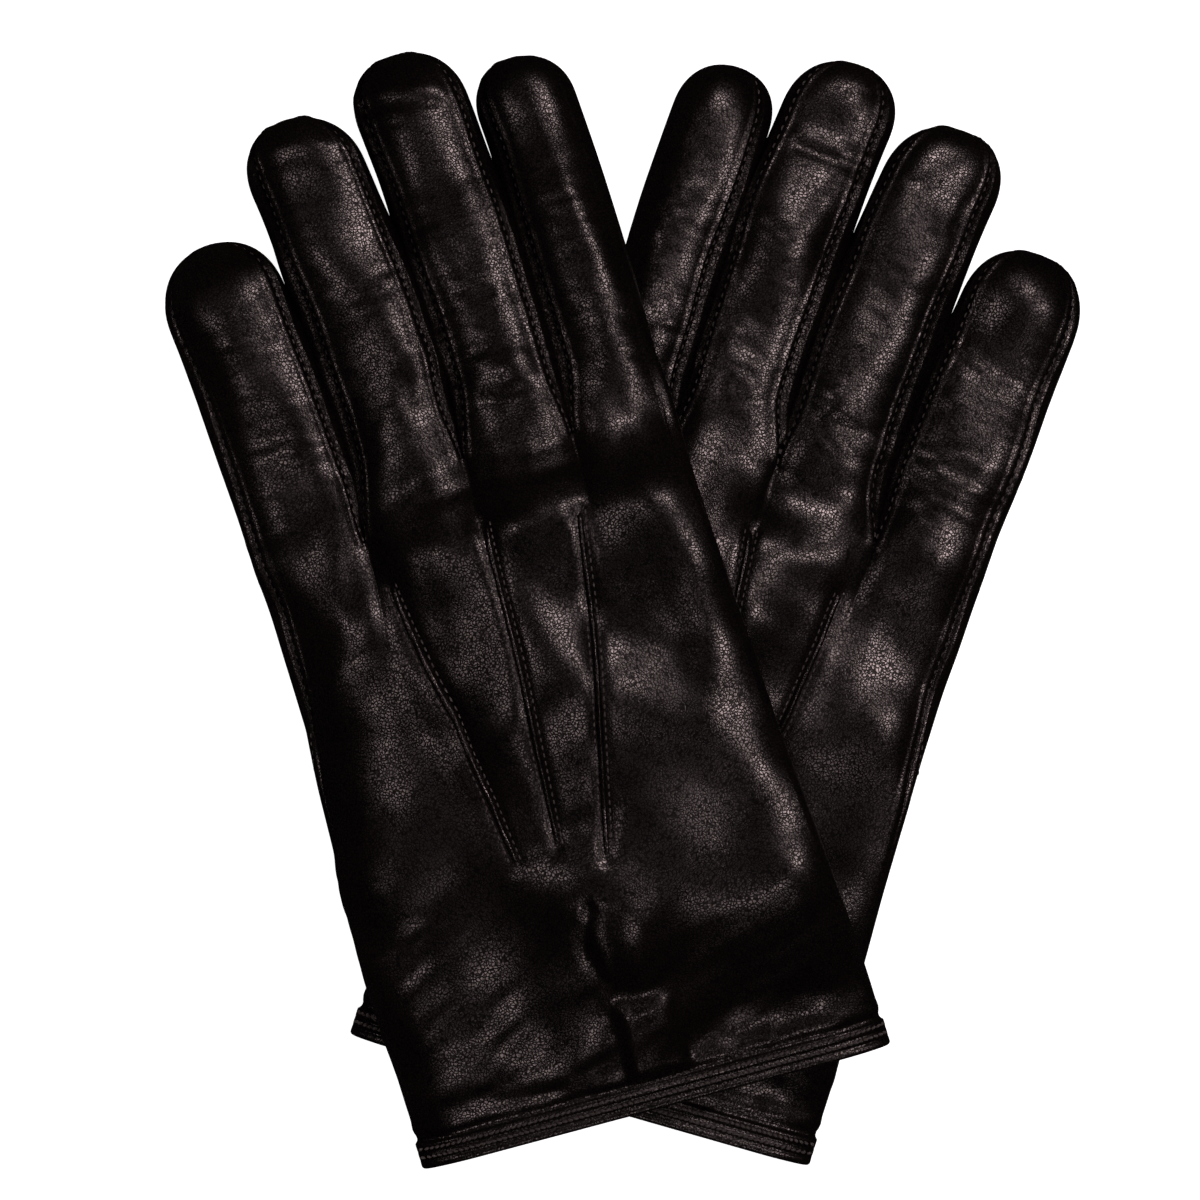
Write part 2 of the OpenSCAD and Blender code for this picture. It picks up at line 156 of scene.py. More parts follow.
# Depth and half width of the groove that each raised point stands in.
POINT_GROOVE = (0.85, 1.7)
STITCH_PITCH = 2.4
SEAM_ROLL, SEAM_GROOVE, SEAM_PUCKER = 0.6, 0.55, 0.04
HEM_RISE, HEM_GROOVE = 0.55, 0.45

# Counts of cells: across one finger's back, down a side, along the hand and along a finger.
ACROSS, DOWN = 26, 12
HAND_ROWS, FINGER_ROWS = 150, 130


def smooth(x, a, b):
    t = np.clip((x - a) / (b - a), 0, 1)
    return t * t * (3 - 2 * t)


def lerp(a, b, t):
    return a + (b - a) * t


def curve(x, knots):
    """A smooth curve through knots."""
    kx, ky = np.array(knots, float).T
    slope = np.gradient(ky, kx)
    i = np.clip(np.searchsorted(kx, x, side="right") - 1, 0, len(kx) - 2)
    gap = kx[i + 1] - kx[i]
    t = np.clip((x - kx[i]) / gap, 0, 1)
    a, b = ky[i], ky[i + 1]
    return (a * (1 + 2 * t) * (1 - t) ** 2 + b * t * t * (3 - 2 * t)
            + gap * (slope[i] * t * (1 - t) ** 2 - slope[i + 1] * t * t * (1 - t)))


def waves(seed, p, size, octaves=2, count=22):
    """A smooth random field over points p, about -1 to 1, whose bumps are about size across."""
    rng = np.random.default_rng(seed)
    total = np.zeros(len(p))
    for octave in range(octaves):
        angle = rng.uniform(0, 2 * math.pi, count)
        length = size / 2 ** octave * rng.uniform(0.8, 1.6, count)
        phase = rng.uniform(0, 2 * math.pi, count)
        k = 2 * math.pi / length
        field = np.sin(p[:, :1] * (k * np.cos(angle)) + p[:, 1:2] * (k * np.sin(angle)) + phase)
        total += field.sum(axis=1) / math.sqrt(count / 2) / 1.6 ** octave
    return total * 0.5


# ---------------------------------------------------------------- the bed each glove lies on
THUMB_LIFT = 5.8
BED_H = 17.6
BED_EDGE = ((0, -67), (84, -34), (121, -9))
BED_FALL = 40
BED_SLOPE = (0.12, -0.05)
DROOP = {"little": 0.5, "ring": 1.5, "middle": 3.5, "index": 5.0}
KNUCKLE = {"little": (-46, 152), "ring": (-16.3, 165.5), "middle": (11, 167.5), "index": (36.7, 169.5)}
KNUCKLE_SLOPE = 4.3


def lift(u, v):
    """How far the folded thumb raises the hand."""
    return THUMB_LIFT * smooth(u, -32, -4) * smooth(v, 14, 54) * (1 - smooth(v, 138, 160))


def bed(side, u, v):
    """Height of what the glove lies on: the table, or the lower glove and then the table beside it."""
    if side == "right":
        return np.zeros_like(u)
    knuckles = BED_H + BED_SLOPE[0] * (u - 37) + BED_SLOPE[1] * (v - 159)
    edge = np.interp(v, *np.array(BED_EDGE, float).T)
    beside = np.maximum(0, knuckles) * smooth(v, 30, 130)
    rest = lerp(beside, BED_H, smooth(u - edge, -BED_FALL, 0))
    return lerp(rest * lerp(0.62, 1, smooth(v, 0, 50)), knuckles, smooth(v, 104, 146))


def droop(side, u, v, finger):
    """How far each finger of the upper glove sinks past its knuckle."""
    fall = np.zeros_like(u)
    if side == "left":
        a = math.radians(KNUCKLE_SLOPE)
        for k, name in enumerate(FINGERS):
            cu, cv = KNUCKLE[name]
            past = -(u - cu) * math.sin(a) + (v - cv) * math.cos(a)
            run = np.where(past < 8, np.maximum(0, past + 8) ** 2 / 32, past)
            fall = np.where(finger == k, run * math.tan(math.radians(DROOP[name])), fall)
    return fall


def laid(side, flat, finger):
    """Points of the flat pattern, laid on the bed."""
    u, v, h = flat.T

    def ground(u, v):
        return bed(side, u, v) - droop(side, u, v, finger)

    nu = (ground(u - 1, v) - ground(u + 1, v)) / 2
    nv = (ground(u, v - 1) - ground(u, v + 1)) / 2
    size = np.sqrt(nu ** 2 + nv ** 2 + 1)
    return np.stack([u + h * nu / size, v + h * nv / size, ground(u, v) + h / size], axis=1)


def placed(side, points):
    """Points in the glove's frame, in millimetres, moved to the pair's frame, in metres."""
    x, y, turn, mirror = PLACE[side]
    a = math.radians(turn)
    u, v = points[:, 0] * mirror, points[:, 1]
    return np.stack([x + u * math.cos(a) - v * math.sin(a), y + u * math.sin(a) + v * math.cos(a),
                     points[:, 2]], axis=1) * MM


# ---------------------------------------------------------------- the shell of one glove
def quads_between(index, closed):
    """Quads between rows of point numbers; closed joins each row's last point to its first."""
    right = np.roll(index, -1, axis=1)
    if not closed:
        index, right = index[:, :-1], right[:, :-1]
    return np.stack([index[:-1], right[:-1], right[1:], index[1:]], axis=-1).reshape(-1, 4)


def grid_quads(rows, columns, closed):
    return quads_between(np.arange(rows * columns).reshape(rows, columns), closed)


class Shell:
    """One glove's leather as a single quad mesh, kept as flat points with what each point belongs to."""

    def __init__(self):
        self.flat, self.finger, self.across, self.along, self.seam = [], [], [], [], []
        self.quads, self.tags = [], []
        self.count = 0

    def add(self, flat, finger, across, along, seam):
        """Adds points. seam is each point's distance from the nearest seam."""
        flat = np.asarray(flat, float)
        n = len(flat)
        self.flat.append(flat)
        self.finger.append(np.full(n, finger))
        self.across.append(np.broadcast_to(across, n))
        self.along.append(np.broadcast_to(along, n))
        self.seam.append(np.broadcast_to(seam, n))
        self.count += n
        return np.arange(self.count - n, self.count)

    def grid(self, index, tags):
        """Adds the quads between rings of point numbers."""
        self.quads.append(quads_between(index, True))
        self.tags.append(np.tile(tags, len(index) - 1))

    def close(self):
        for name in ("flat", "finger", "across", "along", "seam", "quads", "tags"):
            setattr(self, name, np.concatenate(getattr(self, name)))


def cross_steps():
    """Places across a finger's back, -1 to 1, closer together at the seams."""
    s = np.sin(np.linspace(-1, 1, ACROSS + 1) * math.pi / 2 * 0.76)
    return s / s[-1]


def down_steps():
    """Shares of the way down a side, closer together at both seams."""
    return (1 - np.cos(np.linspace(0, math.pi, DOWN + 1)[1:-1])) / 2


def ring_tags(columns, names):
    """Names for the cells round a ring: back, right side, palm, left side."""
    back, right, palm, left = names
    return np.array([back] * columns + [right] * DOWN + [palm] * columns + [left] * DOWN)


def hand_rows():
    """Shares of the hand's length at which its rings lie, closer together over the hem."""
    near = np.array([0, 0.3, 0.8, 1.2, 1.6, 2.0, 2.6, 3.2, 3.5, 3.8, 4.2, 4.9, 5.5, 5.9, 6.3, 6.7,
                     7.2, 7.9, 8.8, 9.8]) / 150
    return np.concatenate([near, np.linspace(near[-1], 1, HAND_ROWS - len(near) + 2)[1:]])


def crown(x):
    return np.abs(x) ** 2.6


NO_SEAM = 99.0
SIDE_LENGTH = 10.0


def back_edges(v):
    """The lines where the hand's back meets its sides."""
    return curve(v, LITTLE_EDGE) + curve(v, SEAM_INSET), curve(v, INDEX_EDGE) - FOLD_INSET


def side_wall(edge, direction, top, low, bulge, power, y):
    """Points down one side, which bulges past its edge. direction and edge are in the flat plane."""
    out = bulge * np.sin(math.pi * y) ** power
    return np.column_stack([edge + out[:, None] * direction, lerp(top, low, y)])


def build_flat():
    """The whole glove, flat, before any wrinkle."""
    shell = Shell()
    steps, y = cross_steps(), down_steps()
    ends = np.array(CROTCHES, float)
    strip = np.append(np.repeat(np.arange(4), ACROSS), 3)
    x = np.concatenate([steps[:-1]] * 4 + [[1.0]])
    end = ends[strip] + (ends[strip + 1] - ends[strip]) * ((x + 1) / 2)[:, None]
    left_end, right_end = back_edges(end[:, 1])
    share = (end[:, 0] - left_end) / (right_end - left_end)
    outer = ((strip == 0) & (x < 0)) | ((strip == 3) & (x > 0))
    rings = []
    for r in hand_rows():
        v = r * end[:, 1]
        left, right = back_edges(v)
        u = lerp(left, right, share)
        thick = curve(v, HAND_THICKNESS)
        fade = np.where(outer, 1, smooth(v, end[:, 1] - 34, end[:, 1]))
        up = lift(u, v)
        top = thick * (1 - (1 - SEAM_HEIGHT) * crown(x) * fade) + up
        low = thick * UNDER_HEIGHT * np.abs(x) ** 3 * fade + up
        back = shell.add(np.stack([u, v, top], axis=1), -1, x, r, u - left)
        palm = shell.add(np.stack([u, v, low], axis=1), -1, x, r, NO_SEAM)
        walls = []
        for j, sign, inset in ((-1, 1, FOLD_INSET), (0, -1, curve(v[0], SEAM_INSET))):
            wall = side_wall(np.array([u[j], v[j]]), np.array([sign, 0]), top[j], low[j], inset, 0.8, y)
            walls.append(shell.add(wall, -1, sign, r, NO_SEAM if sign > 0 else y * SIDE_LENGTH))
        rings.append(np.concatenate([back, walls[0], palm[::-1], walls[1][::-1]]))
    shell.hand_rings = rings = np.array(rings)
    shell.hand_back = rings[:, :len(x)]
    shell.hand_share, shell.hand_end = share, end[:, 1]
    shell.grid(rings, ring_tags(4 * ACROSS, ("back_panel", "palm_panel", "palm_panel", "palm_panel")))

    last, columns, wall = rings[-1], len(x), DOWN - 1
    back = last[:columns]
    palm = last[columns + wall:2 * columns + wall][::-1]
    points = np.concatenate(shell.flat)
    seams = [last[2 * columns + wall:][::-1]]
    for k in (1, 2, 3):
        a, b = points[back[k * ACROSS]], points[palm[k * ACROSS]]
        seams.append(shell.add(lerp(a, b, y[:, None]), -1, 0, 1, y * SIDE_LENGTH))
    seams.append(last[columns:columns + wall])
    shell.fingers = {}
    for k, name in enumerate(FINGERS):
        part = slice(k * ACROSS, (k + 1) * ACROSS + 1)
        first = np.concatenate([back[part], seams[k + 1], palm[part][::-1], seams[k][::-1]])
        build_finger(shell, k, name, steps, y, first)
    shell.close()
    return shell


def finger_frame(name):
    """A finger's middle line: its base, direction, rightward direction and length."""
    k = FINGERS.index(name)
    base = (np.array(CROTCHES[k], float) + CROTCHES[k + 1]) / 2
    tip = np.array(FINGER_SHAPE[name][0], float)
    length = np.linalg.norm(tip - base)
    direction = (tip - base) / length
    return base, direction, np.array([direction[1], -direction[0]]), length


def build_finger(shell, k, name, steps, y, first):
    _, bow, widths, slits = FINGER_SHAPE[name]
    base, direction, across, length = finger_frame(name)
    span = np.array(CROTCHES[k + 1], float) - CROTCHES[k]
    half_0, shear = span @ across / 2, span @ direction / 2
    tip_round = widths[-1] * 1.08
    body = np.linspace(0, length - tip_round, FINGER_ROWS - 16)[1:]
    round_off = length - tip_round * (1 - np.sin(np.linspace(0, math.pi / 2, 18)[1:]))
    rings = [first]
    for l in np.concatenate([body, round_off[:-1]]):
        into = max(0, (l - length + tip_round) / tip_round)
        taper = max(0.0, 1 - into ** 2.25) ** (1 / 2.25)
        half = curve(np.array(l / length), tuple(zip((0, 0.3, 0.6, 1), widths))) * taper
        grow = smooth(l, 0, 17)
        left_slit, right_slit = np.array(slits) * taper
        seam = lerp(half_0, half - (left_slit + right_slit) / 2, grow)
        shift = (left_slit - right_slit) / 2 * grow
        centre = base + l * direction + (bow * 4 * (l / length) * (1 - l / length) + shift) * across
        slant = shear * (1 - smooth(l, 0, 36))
        plan = centre + steps[:, None] * (seam * across + slant * direction)
        base_v = (CROTCHES[k][1] + CROTCHES[k + 1][1]) / 2 + shear * steps
        full = lerp(curve(base_v, HAND_THICKNESS), FINGER_THICKNESS, smooth(l, 0, 24))
        thick = full * (0.12 + 0.88 * taper)
        floor = (full - thick) * 0.32 + lift(*plan.T)
        top = floor + thick * (1 - (1 - SEAM_HEIGHT) * crown(steps))
        low = floor + thick * UNDER_HEIGHT * np.abs(steps) ** 3
        from_seam = seam * (steps + 1) if name == "index" else seam * (1 - np.abs(steps))
        back = shell.add(np.column_stack([plan, top]), k, steps, l, from_seam)
        palm_seam = NO_SEAM if name == "little" else from_seam
        palm = shell.add(np.column_stack([plan, low]), k, steps, l, palm_seam)
        walls = []
        for j, sign, slit in ((-1, 1, right_slit), (0, -1, left_slit)):
            outside = (name == "index" and sign > 0) or (name == "little" and sign < 0)
            at_base = (FOLD_INSET if sign > 0 else 3.2) if outside else 0
            swell = 0 if outside else GAP_FILL * smooth(l, 5, 20) * (1 - smooth(l, 45, 75))
            sink = 0 if outside else WELT_DROP * taper * smooth(l, 0, 14)
            bulge = lerp(at_base, slit, smooth(l, 0, 12)) + swell
            power = 0.8 if outside else 0.75
            wall = side_wall(plan[j], sign * across, top[j] - sink, low[j], bulge, power, y)
            if not outside:
                from_edge = SIDE_LENGTH * np.minimum(y, 1 - y)
            else:
                from_edge = NO_SEAM if sign > 0 else SIDE_LENGTH * y
            walls.append(shell.add(wall, k, sign, l, from_edge))
        rings.append(np.concatenate([back, walls[0], palm[::-1], walls[1][::-1]]))
    rings = np.array(rings)
    left_tag = "palm" if name == "little" else "fourchette"
    right_tag = "palm" if name == "index" else "fourchette"
    shell.grid(rings, ring_tags(ACROSS, [f"{name}_{t}" for t in ("back", right_tag, "palm", left_tag)]))
    # The tip closes with quads that share its middle point.
    cap = rings[-1]
    middle = shell.add(np.mean(np.concatenate(shell.flat)[cap], axis=0)[None, :], k, 0, length, NO_SEAM)[0]
    starts = range(0, len(cap), 2)
    shell.quads.append(np.array([[cap[i], cap[i + 1], cap[(i + 2) % len(cap)], middle] for i in starts]))
    shell.tags.append(np.array([f"{name}_{'back' if 2 * i < len(cap) else 'palm'}" for i in starts]))
    shell.fingers[name] = rings


def vertex_normals(points, quads):
    a, b, c, d = (points[quads[:, i]] for i in range(4))
    face = np.cross(c - a, d - b)
    total = np.zeros_like(points)
    for i in range(4):
        np.add.at(total, quads[:, i], face)
    size = np.linalg.norm(total, axis=1, keepdims=True)
    return total / np.maximum(size, 1e-12)


# ---------------------------------------------------------------- wrinkles, seams and swells
def crease(p, path, depth, width, ridge):
    """A soft groove along a path, with a ridge on its left."""
    best = np.full(len(p), 1e9)
    side = np.zeros(len(p))
    for a, b in zip(path[:-1], path[1:]):
        a, b = np.array(a, float), np.array(b, float)
        d = b - a
        t = np.clip((p - a) @ d / (d @ d), 0, 1)
        off = p - a - t[:, None] * d
        dist = np.linalg.norm(off, axis=1)
        near = dist < best
        best = np.where(near, dist, best)
        side = np.where(near, np.sign(d[0] * off[:, 1] - d[1] * off[:, 0]) * dist, side)
    past = np.sqrt(np.maximum(0, best ** 2 - side ** 2))
    groove = -np.exp(-(best / width) ** 2)
    swell = ridge * np.exp(-((side - 2 * width) / (1.2 * width)) ** 2 - (past / width) ** 2)
    far = np.exp(-(np.maximum(0, best - 3 * width) / width) ** 2)
    return depth * (groove + swell * far)


def relief(side, shell, normals):
    """How far each point of the shell moves along its normal."""
    u, v = shell.flat[:, 0], shell.flat[:, 1]
    facing = smooth(normals[:, 2], 0.25, 0.8)
    p = shell.flat[:, :2]
    seed = 10 if side == "left" else 50
    in_finger = shell.finger >= 0
    along, across, seam = shell.along, shell.across, shell.seam

    def swell(number, kind, points, octaves=2):
        height, size = kind
        return height * waves(seed + number, points, size, octaves)

    def ridge(place, middle, width):
        return np.exp(-((place - middle) / width) ** 2)

    # The hand's wrinkles fade out past the knuckles, where the fingers' own begin.
    hand = np.where(in_finger, 1 - smooth(along, 0, 10), smooth(v, 4, 22))
    fingers = np.where(in_finger, smooth(along, 0, 10), 0)
    broad = np.where(in_finger, lerp(1, 0.5, smooth(along, 0, 20)), smooth(v, 4, 22))
    total = swell(0, BROAD_SWELL, p, 1) * broad
    total += (swell(1, HAND_SWELL, p, 1) + swell(7, FINE_SWELL, p, 1)) * hand
    total += swell(2, CUFF_SWELL, p) * (1 - smooth(v, 6, 40)) * smooth(v, 5, 9)
    total += swell(3, FINGER_SWELL, p, 1) * fingers
    # Fine wrinkles that run across the fingers, strongest where a finger bends.
    stretched = np.stack([across * 5 + shell.finger * 37, np.where(in_finger, along, 0)], axis=1)
    bends = ridge(along, 22, 11) + 0.8 * ridge(along, 52, 10) + 0.25
    total += swell(4, FINGER_WRINKLES, stretched) * fingers * bends
    # Drag lines from the crotches and towards the wrist.
    drawn_out = np.stack([u * 0.9, v * 0.16], axis=1)
    total += swell(5, DRAG_LINES, drawn_out) * smooth(v, 96, 150) * hand
    slanted = np.stack([u * 0.25 + v * 0.1, v * 0.95 - u * 0.4], axis=1)
    total += swell(6, WRIST_WRINKLES, slanted) * smooth(v, 8, 18) * (1 - smooth(v, 30, 74))
    total *= lerp(0.15, 1, facing)
    for path, depth, width, side_ridge in CREASES[side]:
        total += CREASE_SHARE * crease(p, path, depth, width, side_ridge) * facing
    for (cu, cv), (ru, rv), height in BUMPS[side]:
        total += height * np.exp(-((u - cu) / ru) ** 2 - ((v - cv) / rv) ** 2)
    if side == "left":
        (cu, cv), (hu, hv), soft, height = PLATEAU
        inside = smooth(u - cu + hu, -soft, soft) * smooth(hu - u + cu, -0.3 * soft, 0.3 * soft)
        total += height * inside * smooth(hv - np.abs(v - cv), -soft, soft)
    for path in POINTS:
        total += crease(p, path, *POINT_GROOVE, 0) * facing * ~in_finger
    # Seams sink beside a soft roll and pucker at every stitch.
    roll = ridge(seam, 1.0, 0.5) * smooth(normals[:, 2], 0.2, 0.6)
    groove = ridge(seam, 0, 0.5)
    stitch_along = np.where(in_finger, along, v)
    pucker = np.cos(2 * math.pi * stitch_along / STITCH_PITCH) * ridge(seam, 0.9, 1.0)
    seam_fade = np.where(in_finger, 1, smooth(v, 60, 100))
    total += (SEAM_ROLL * roll - SEAM_GROOVE * groove + SEAM_PUCKER * pucker) * seam_fade
    # The hem is thicker, has two ribs, and a dip runs beside it.
    hem = HEM_RISE * (1 - smooth(v, HEM_WIDTH - 0.5, HEM_WIDTH + 0.3))
    hem += 0.22 * ridge(v, HEM_WIDTH + 3.4, 1.3) - 0.3 * ridge(v, HEM_WIDTH + 1.1, 0.9)
    hem -= HEM_GROOVE * lerp(0.15, 1, facing) * (ridge(v, 1.5, 0.4) + ridge(v, 3.6, 0.35))
    return total + np.where(in_finger, 0, hem)


class Glove:
    """A shell with its relief, in place, and the ways to find a point on it."""

    def __init__(self, side):
        self.side = side
        self.shell = shell = build_flat()
        normals = vertex_normals(shell.flat, shell.quads)
        depth = relief(side, shell, normals)
        under = normals[:, 2] < -0.3
        depth = np.where(under, np.minimum(depth, 0), depth)
        self.flat = shell.flat + normals * depth[:, None]
        self.flat[:, 2] = np.maximum(self.flat[:, 2], 0)
        self.flat_normals = vertex_normals(self.flat, shell.quads)
        self.points = self.put(self.flat, shell.finger)
        self.quads = self.turned(shell.quads)
        self.normals = vertex_normals(self.points, self.quads)

    def put(self, flat, finger):
        return placed(self.side, laid(self.side, flat, finger))

    def turned(self, quads):
        """Quads that face outwards after the glove's mirroring."""
        return quads if PLACE[self.side][3] > 0 else quads[:, ::-1]

    def on_back(self, u, v):
        """Flat points and normals of the hand's back at u and v."""
        left, right = back_edges(v)
        column = np.interp((u - left) / (right - left), self.shell.hand_share,
                           np.arange(len(self.shell.hand_share)))
        end = np.interp(column, np.arange(len(self.shell.hand_end)), self.shell.hand_end)
        rows = hand_rows()
        row = np.interp(v / end, rows, np.arange(len(rows)))
        i = np.clip(row.astype(int), 0, len(rows) - 2)
        j = np.clip(column.astype(int), 0, self.shell.hand_back.shape[1] - 2)
        s, t = (row - i)[:, None], (column - j)[:, None]
        grid = self.shell.hand_back
        found = []
        for values in (self.flat, self.flat_normals):
            low = lerp(values[grid[i, j]], values[grid[i, j + 1]], t)
            high = lerp(values[grid[i + 1, j]], values[grid[i + 1, j + 1]], t)
            found.append(lerp(low, high, s))
        return found


# ---------------------------------------------------------------- meshes
def make_object(name, points, quads, material, normals=None):
    """An object from the points that its quads use. A quad that repeats its last point is a triangle."""
    used, index = np.unique(quads, return_inverse=True)
    points = points[used]
    points[:, 2] = np.maximum(points[:, 2], 0)
    faces = [list(dict.fromkeys(face)) for face in index.reshape(quads.shape).tolist()]
    mesh = bpy.data.meshes.new(name)
    mesh.from_pydata(points.tolist(), [], faces)
    mesh.polygons.foreach_set("use_smooth", np.ones(len(faces), bool))
    if normals is not None:
        mesh.normals_split_custom_set_from_vertices(normals[used].tolist())
    mesh.materials.append(material)
    mesh.update()
    obj = bpy.data.objects.new(name, mesh)
    bpy.context.scene.collection.objects.link(obj)
    return obj


def evenly(points, normals, pitch, start=0.0):
    """Points, normals and directions at an even pitch along a path."""
    step = np.linalg.norm(np.diff(points, axis=0), axis=1)
    place = np.concatenate([[0], np.cumsum(step)])
    at = np.arange(start, place[-1], pitch)
    out = [np.stack([np.interp(at, place, values[:, i]) for i in range(3)], axis=1)
           for values in (points, normals)]
    ahead = np.stack([np.interp(at + pitch * 0.3, place, points[:, i]) for i in range(3)], axis=1)
    back = np.stack([np.interp(at - pitch * 0.3, place, points[:, i]) for i in range(3)], axis=1)
    along = ahead - back
    along /= np.maximum(np.linalg.norm(along, axis=1, keepdims=True), 1e-9)
    return out[0], out[1] / np.linalg.norm(out[1], axis=1, keepdims=True), along


def stitch_mesh(places, normals, along, length, radius, rise, lean=0.0):
    """One small rounded stitch at each place, lying along the seam and dipping into it at both ends."""
    across = np.cross(along, normals)
    across /= np.linalg.norm(across, axis=1, keepdims=True)
    direction = along * math.cos(lean) + across * math.sin(lean)
    beside = np.cross(direction, normals)
    stations = ((-0.5, 0.35, -0.9), (-0.36, 0.85, -0.2), (-0.12, 1, 0.1), (0.12, 1, 0.1), (0.36, 0.85, -0.2),
                (0.5, 0.35, -0.9))
    angles = np.linspace(0, 2 * math.pi, 6, endpoint=False)
    points = []
    for share, size, dip in stations:
        centre = places + direction * (share * length) + normals * (rise + dip * radius)
        for a in angles:
            points.append(centre + (beside * math.cos(a) + normals * math.sin(a)) * (radius * size))
    points = np.stack(points, axis=1)
    one = grid_quads(len(stations), len(angles), True)
    quads = (one[None] + (np.arange(len(places)) * points.shape[1])[:, None, None]).reshape(-1, 4)
    return points.reshape(-1, 3), quads


def joined(parts):
    """Several (points, quads) as one."""
    points, quads, count = [], [], 0
    for p, q in parts:
        points.append(p)
        quads.append(q + count)
        count += len(p)
    return np.concatenate(points), np.concatenate(quads)


# ---------------------------------------------------------------- materials
def material(name, colour, roughness, sheen=0.0, tint=(1, 1, 1)):
    mat = bpy.data.materials.new(name)
    mat.use_nodes = True
    shader = mat.node_tree.nodes["Principled BSDF"]
    shader.inputs["Base Color"].default_value = (*colour, 1)
    shader.inputs["Roughness"].default_value = roughness
    shader.inputs["Sheen Weight"].default_value = sheen
    shader.inputs["Specular Tint"].default_value = (*tint, 1)
    return mat, mat.node_tree, shader


class Nodes:
    """Short ways to add shader nodes to one material."""

    def __init__(self, tree):
        self.tree = tree
        self.place = self.new("ShaderNodeTexCoord").outputs["Object"]

    def new(self, kind, **settings):
        node = self.tree.nodes.new(kind)
        for key, value in settings.items():
            setattr(node, key, value)
        return node

    def link(self, a, b):
        self.tree.links.new(a, b)

    def scaled(self, factors):
        node = self.new("ShaderNodeMapping")
        node.inputs["Scale"].default_value = factors
        self.link(self.place, node.inputs["Vector"])
        return node.outputs["Vector"]

    def noise(self, vector, scale, detail=3.0, roughness=0.55):
        node = self.new("ShaderNodeTexNoise")
        self.link(vector, node.inputs["Vector"])
        node.inputs["Scale"].default_value = scale
        node.inputs["Detail"].default_value = detail
        node.inputs["Roughness"].default_value = roughness
        return node.outputs["Fac"]

    def cells(self, vector, scale, feature):
        node = self.new("ShaderNodeTexVoronoi", feature=feature)
        self.link(vector, node.inputs["Vector"])
        node.inputs["Scale"].default_value = scale
        return node.outputs["Distance"]

    def wave(self, vector, scale, direction="X", distortion=0.0):
        node = self.new("ShaderNodeTexWave", bands_direction=direction)
        self.link(vector, node.inputs["Vector"])
        node.inputs["Scale"].default_value = scale
        node.inputs["Distortion"].default_value = distortion
        return node.outputs["Fac"]

    def ramp(self, value, low, high, to_low=0.0, to_high=1.0):
        node = self.new("ShaderNodeMapRange", interpolation_type="SMOOTHSTEP")
        self.link(value, node.inputs["Value"])
        for key, number in zip(("From Min", "From Max", "To Min", "To Max"), (low, high, to_low, to_high)):
            node.inputs[key].default_value = number
        return node.outputs["Result"]

    def maths(self, operation, a, b):
        node = self.new("ShaderNodeMath", operation=operation)
        for socket, value in zip(node.inputs, (a, b)):
            if isinstance(value, (int, float)):
                socket.default_value = value
            else:
                self.link(value, socket)
        return node.outputs["Value"]

    def colours(self, value, stops):
        node = self.new("ShaderNodeValToRGB")
        ramp = node.color_ramp
        while len(ramp.elements) < len(stops):
            ramp.elements.new(0.5)
        for element, (place, colour) in zip(ramp.elements, stops):
            element.position = place
            element.color = (*colour, 1)
        self.link(value, node.inputs["Fac"])
        return node.outputs["Color"]

    def bump(self, height, distance, strength, below=None):
        node = self.new("ShaderNodeBump")
        node.inputs["Distance"].default_value = distance
        node.inputs["Strength"].default_value = strength
        self.link(height, node.inputs["Height"])
        if below is not None:
            self.link(below, node.inputs["Normal"])
        return node.outputs["Normal"]


def leather_material(name, gloss):
    """Near-black nappa: a fine crackled grain, patches of short creases, and a soft uneven sheen."""
    mat, tree, shader = material(name, (0.009, 0.006, 0.006), 0.42, tint=(1, 0.84, 0.82))
    n = Nodes(tree)
    warp = n.new("ShaderNodeVectorMath", operation="ADD")
    drift = n.new("ShaderNodeTexNoise")
    drift.inputs["Scale"].default_value = 420
    n.link(n.place, drift.inputs["Vector"])
    nudge = n.new("ShaderNodeVectorMath", operation="SCALE")
    nudge.inputs["Scale"].default_value = 0.0011
    n.link(drift.outputs["Color"], nudge.inputs[0])
    n.link(n.place, warp.inputs[0])
    n.link(nudge.outputs["Vector"], warp.inputs[1])
    warped = warp.outputs["Vector"]
    crackle = n.ramp(n.cells(warped, 1350, "DISTANCE_TO_EDGE"), 0.0, 0.24)
    pores = n.noise(n.place, 3600, 2)
    creased = n.noise(n.scaled((0.35, 1.5, 1)), 900, 3, 0.6)
    patches = n.ramp(n.noise(n.place, 55, 2), 0.46, 0.66)
    grain = n.maths("ADD", n.maths("MULTIPLY", crackle, 0.8), n.maths("MULTIPLY", pores, 0.12))
    grain = n.maths("ADD", grain, n.maths("MULTIPLY", n.maths("MULTIPLY", creased, patches), 0.25))
    soft = n.bump(n.noise(n.place, 120, 1), 0.0011, 0.12)
    n.link(n.bump(grain, 0.0001, 0.19, soft), shader.inputs["Normal"])
    clouds = n.noise(n.place, 38, 3)
    tone = n.maths("ADD", n.maths("MULTIPLY", clouds, 0.6), n.maths("MULTIPLY", crackle, 0.4))
    colour = n.colours(tone, ((0.25, (0.0016, 0.0009, 0.0010)), (0.55, (0.0034, 0.0019, 0.0020)),
                              (0.85, (0.0075, 0.0043, 0.0040))))
    n.link(colour, shader.inputs["Base Color"])
    shine = n.maths("ADD", n.ramp(n.noise(n.place, 60, 2), 0.3, 0.7, 0.21, 0.28),
                    n.ramp(crackle, 0.0, 1.0, 0.1, 0.0))
    n.link(shine, shader.inputs["Roughness"])
    shader.inputs["Specular IOR Level"].default_value = gloss
    n.link(n.ramp(crackle, 0.0, 1.0, 0.12 * gloss, gloss), shader.inputs["Specular IOR Level"])
    return mat


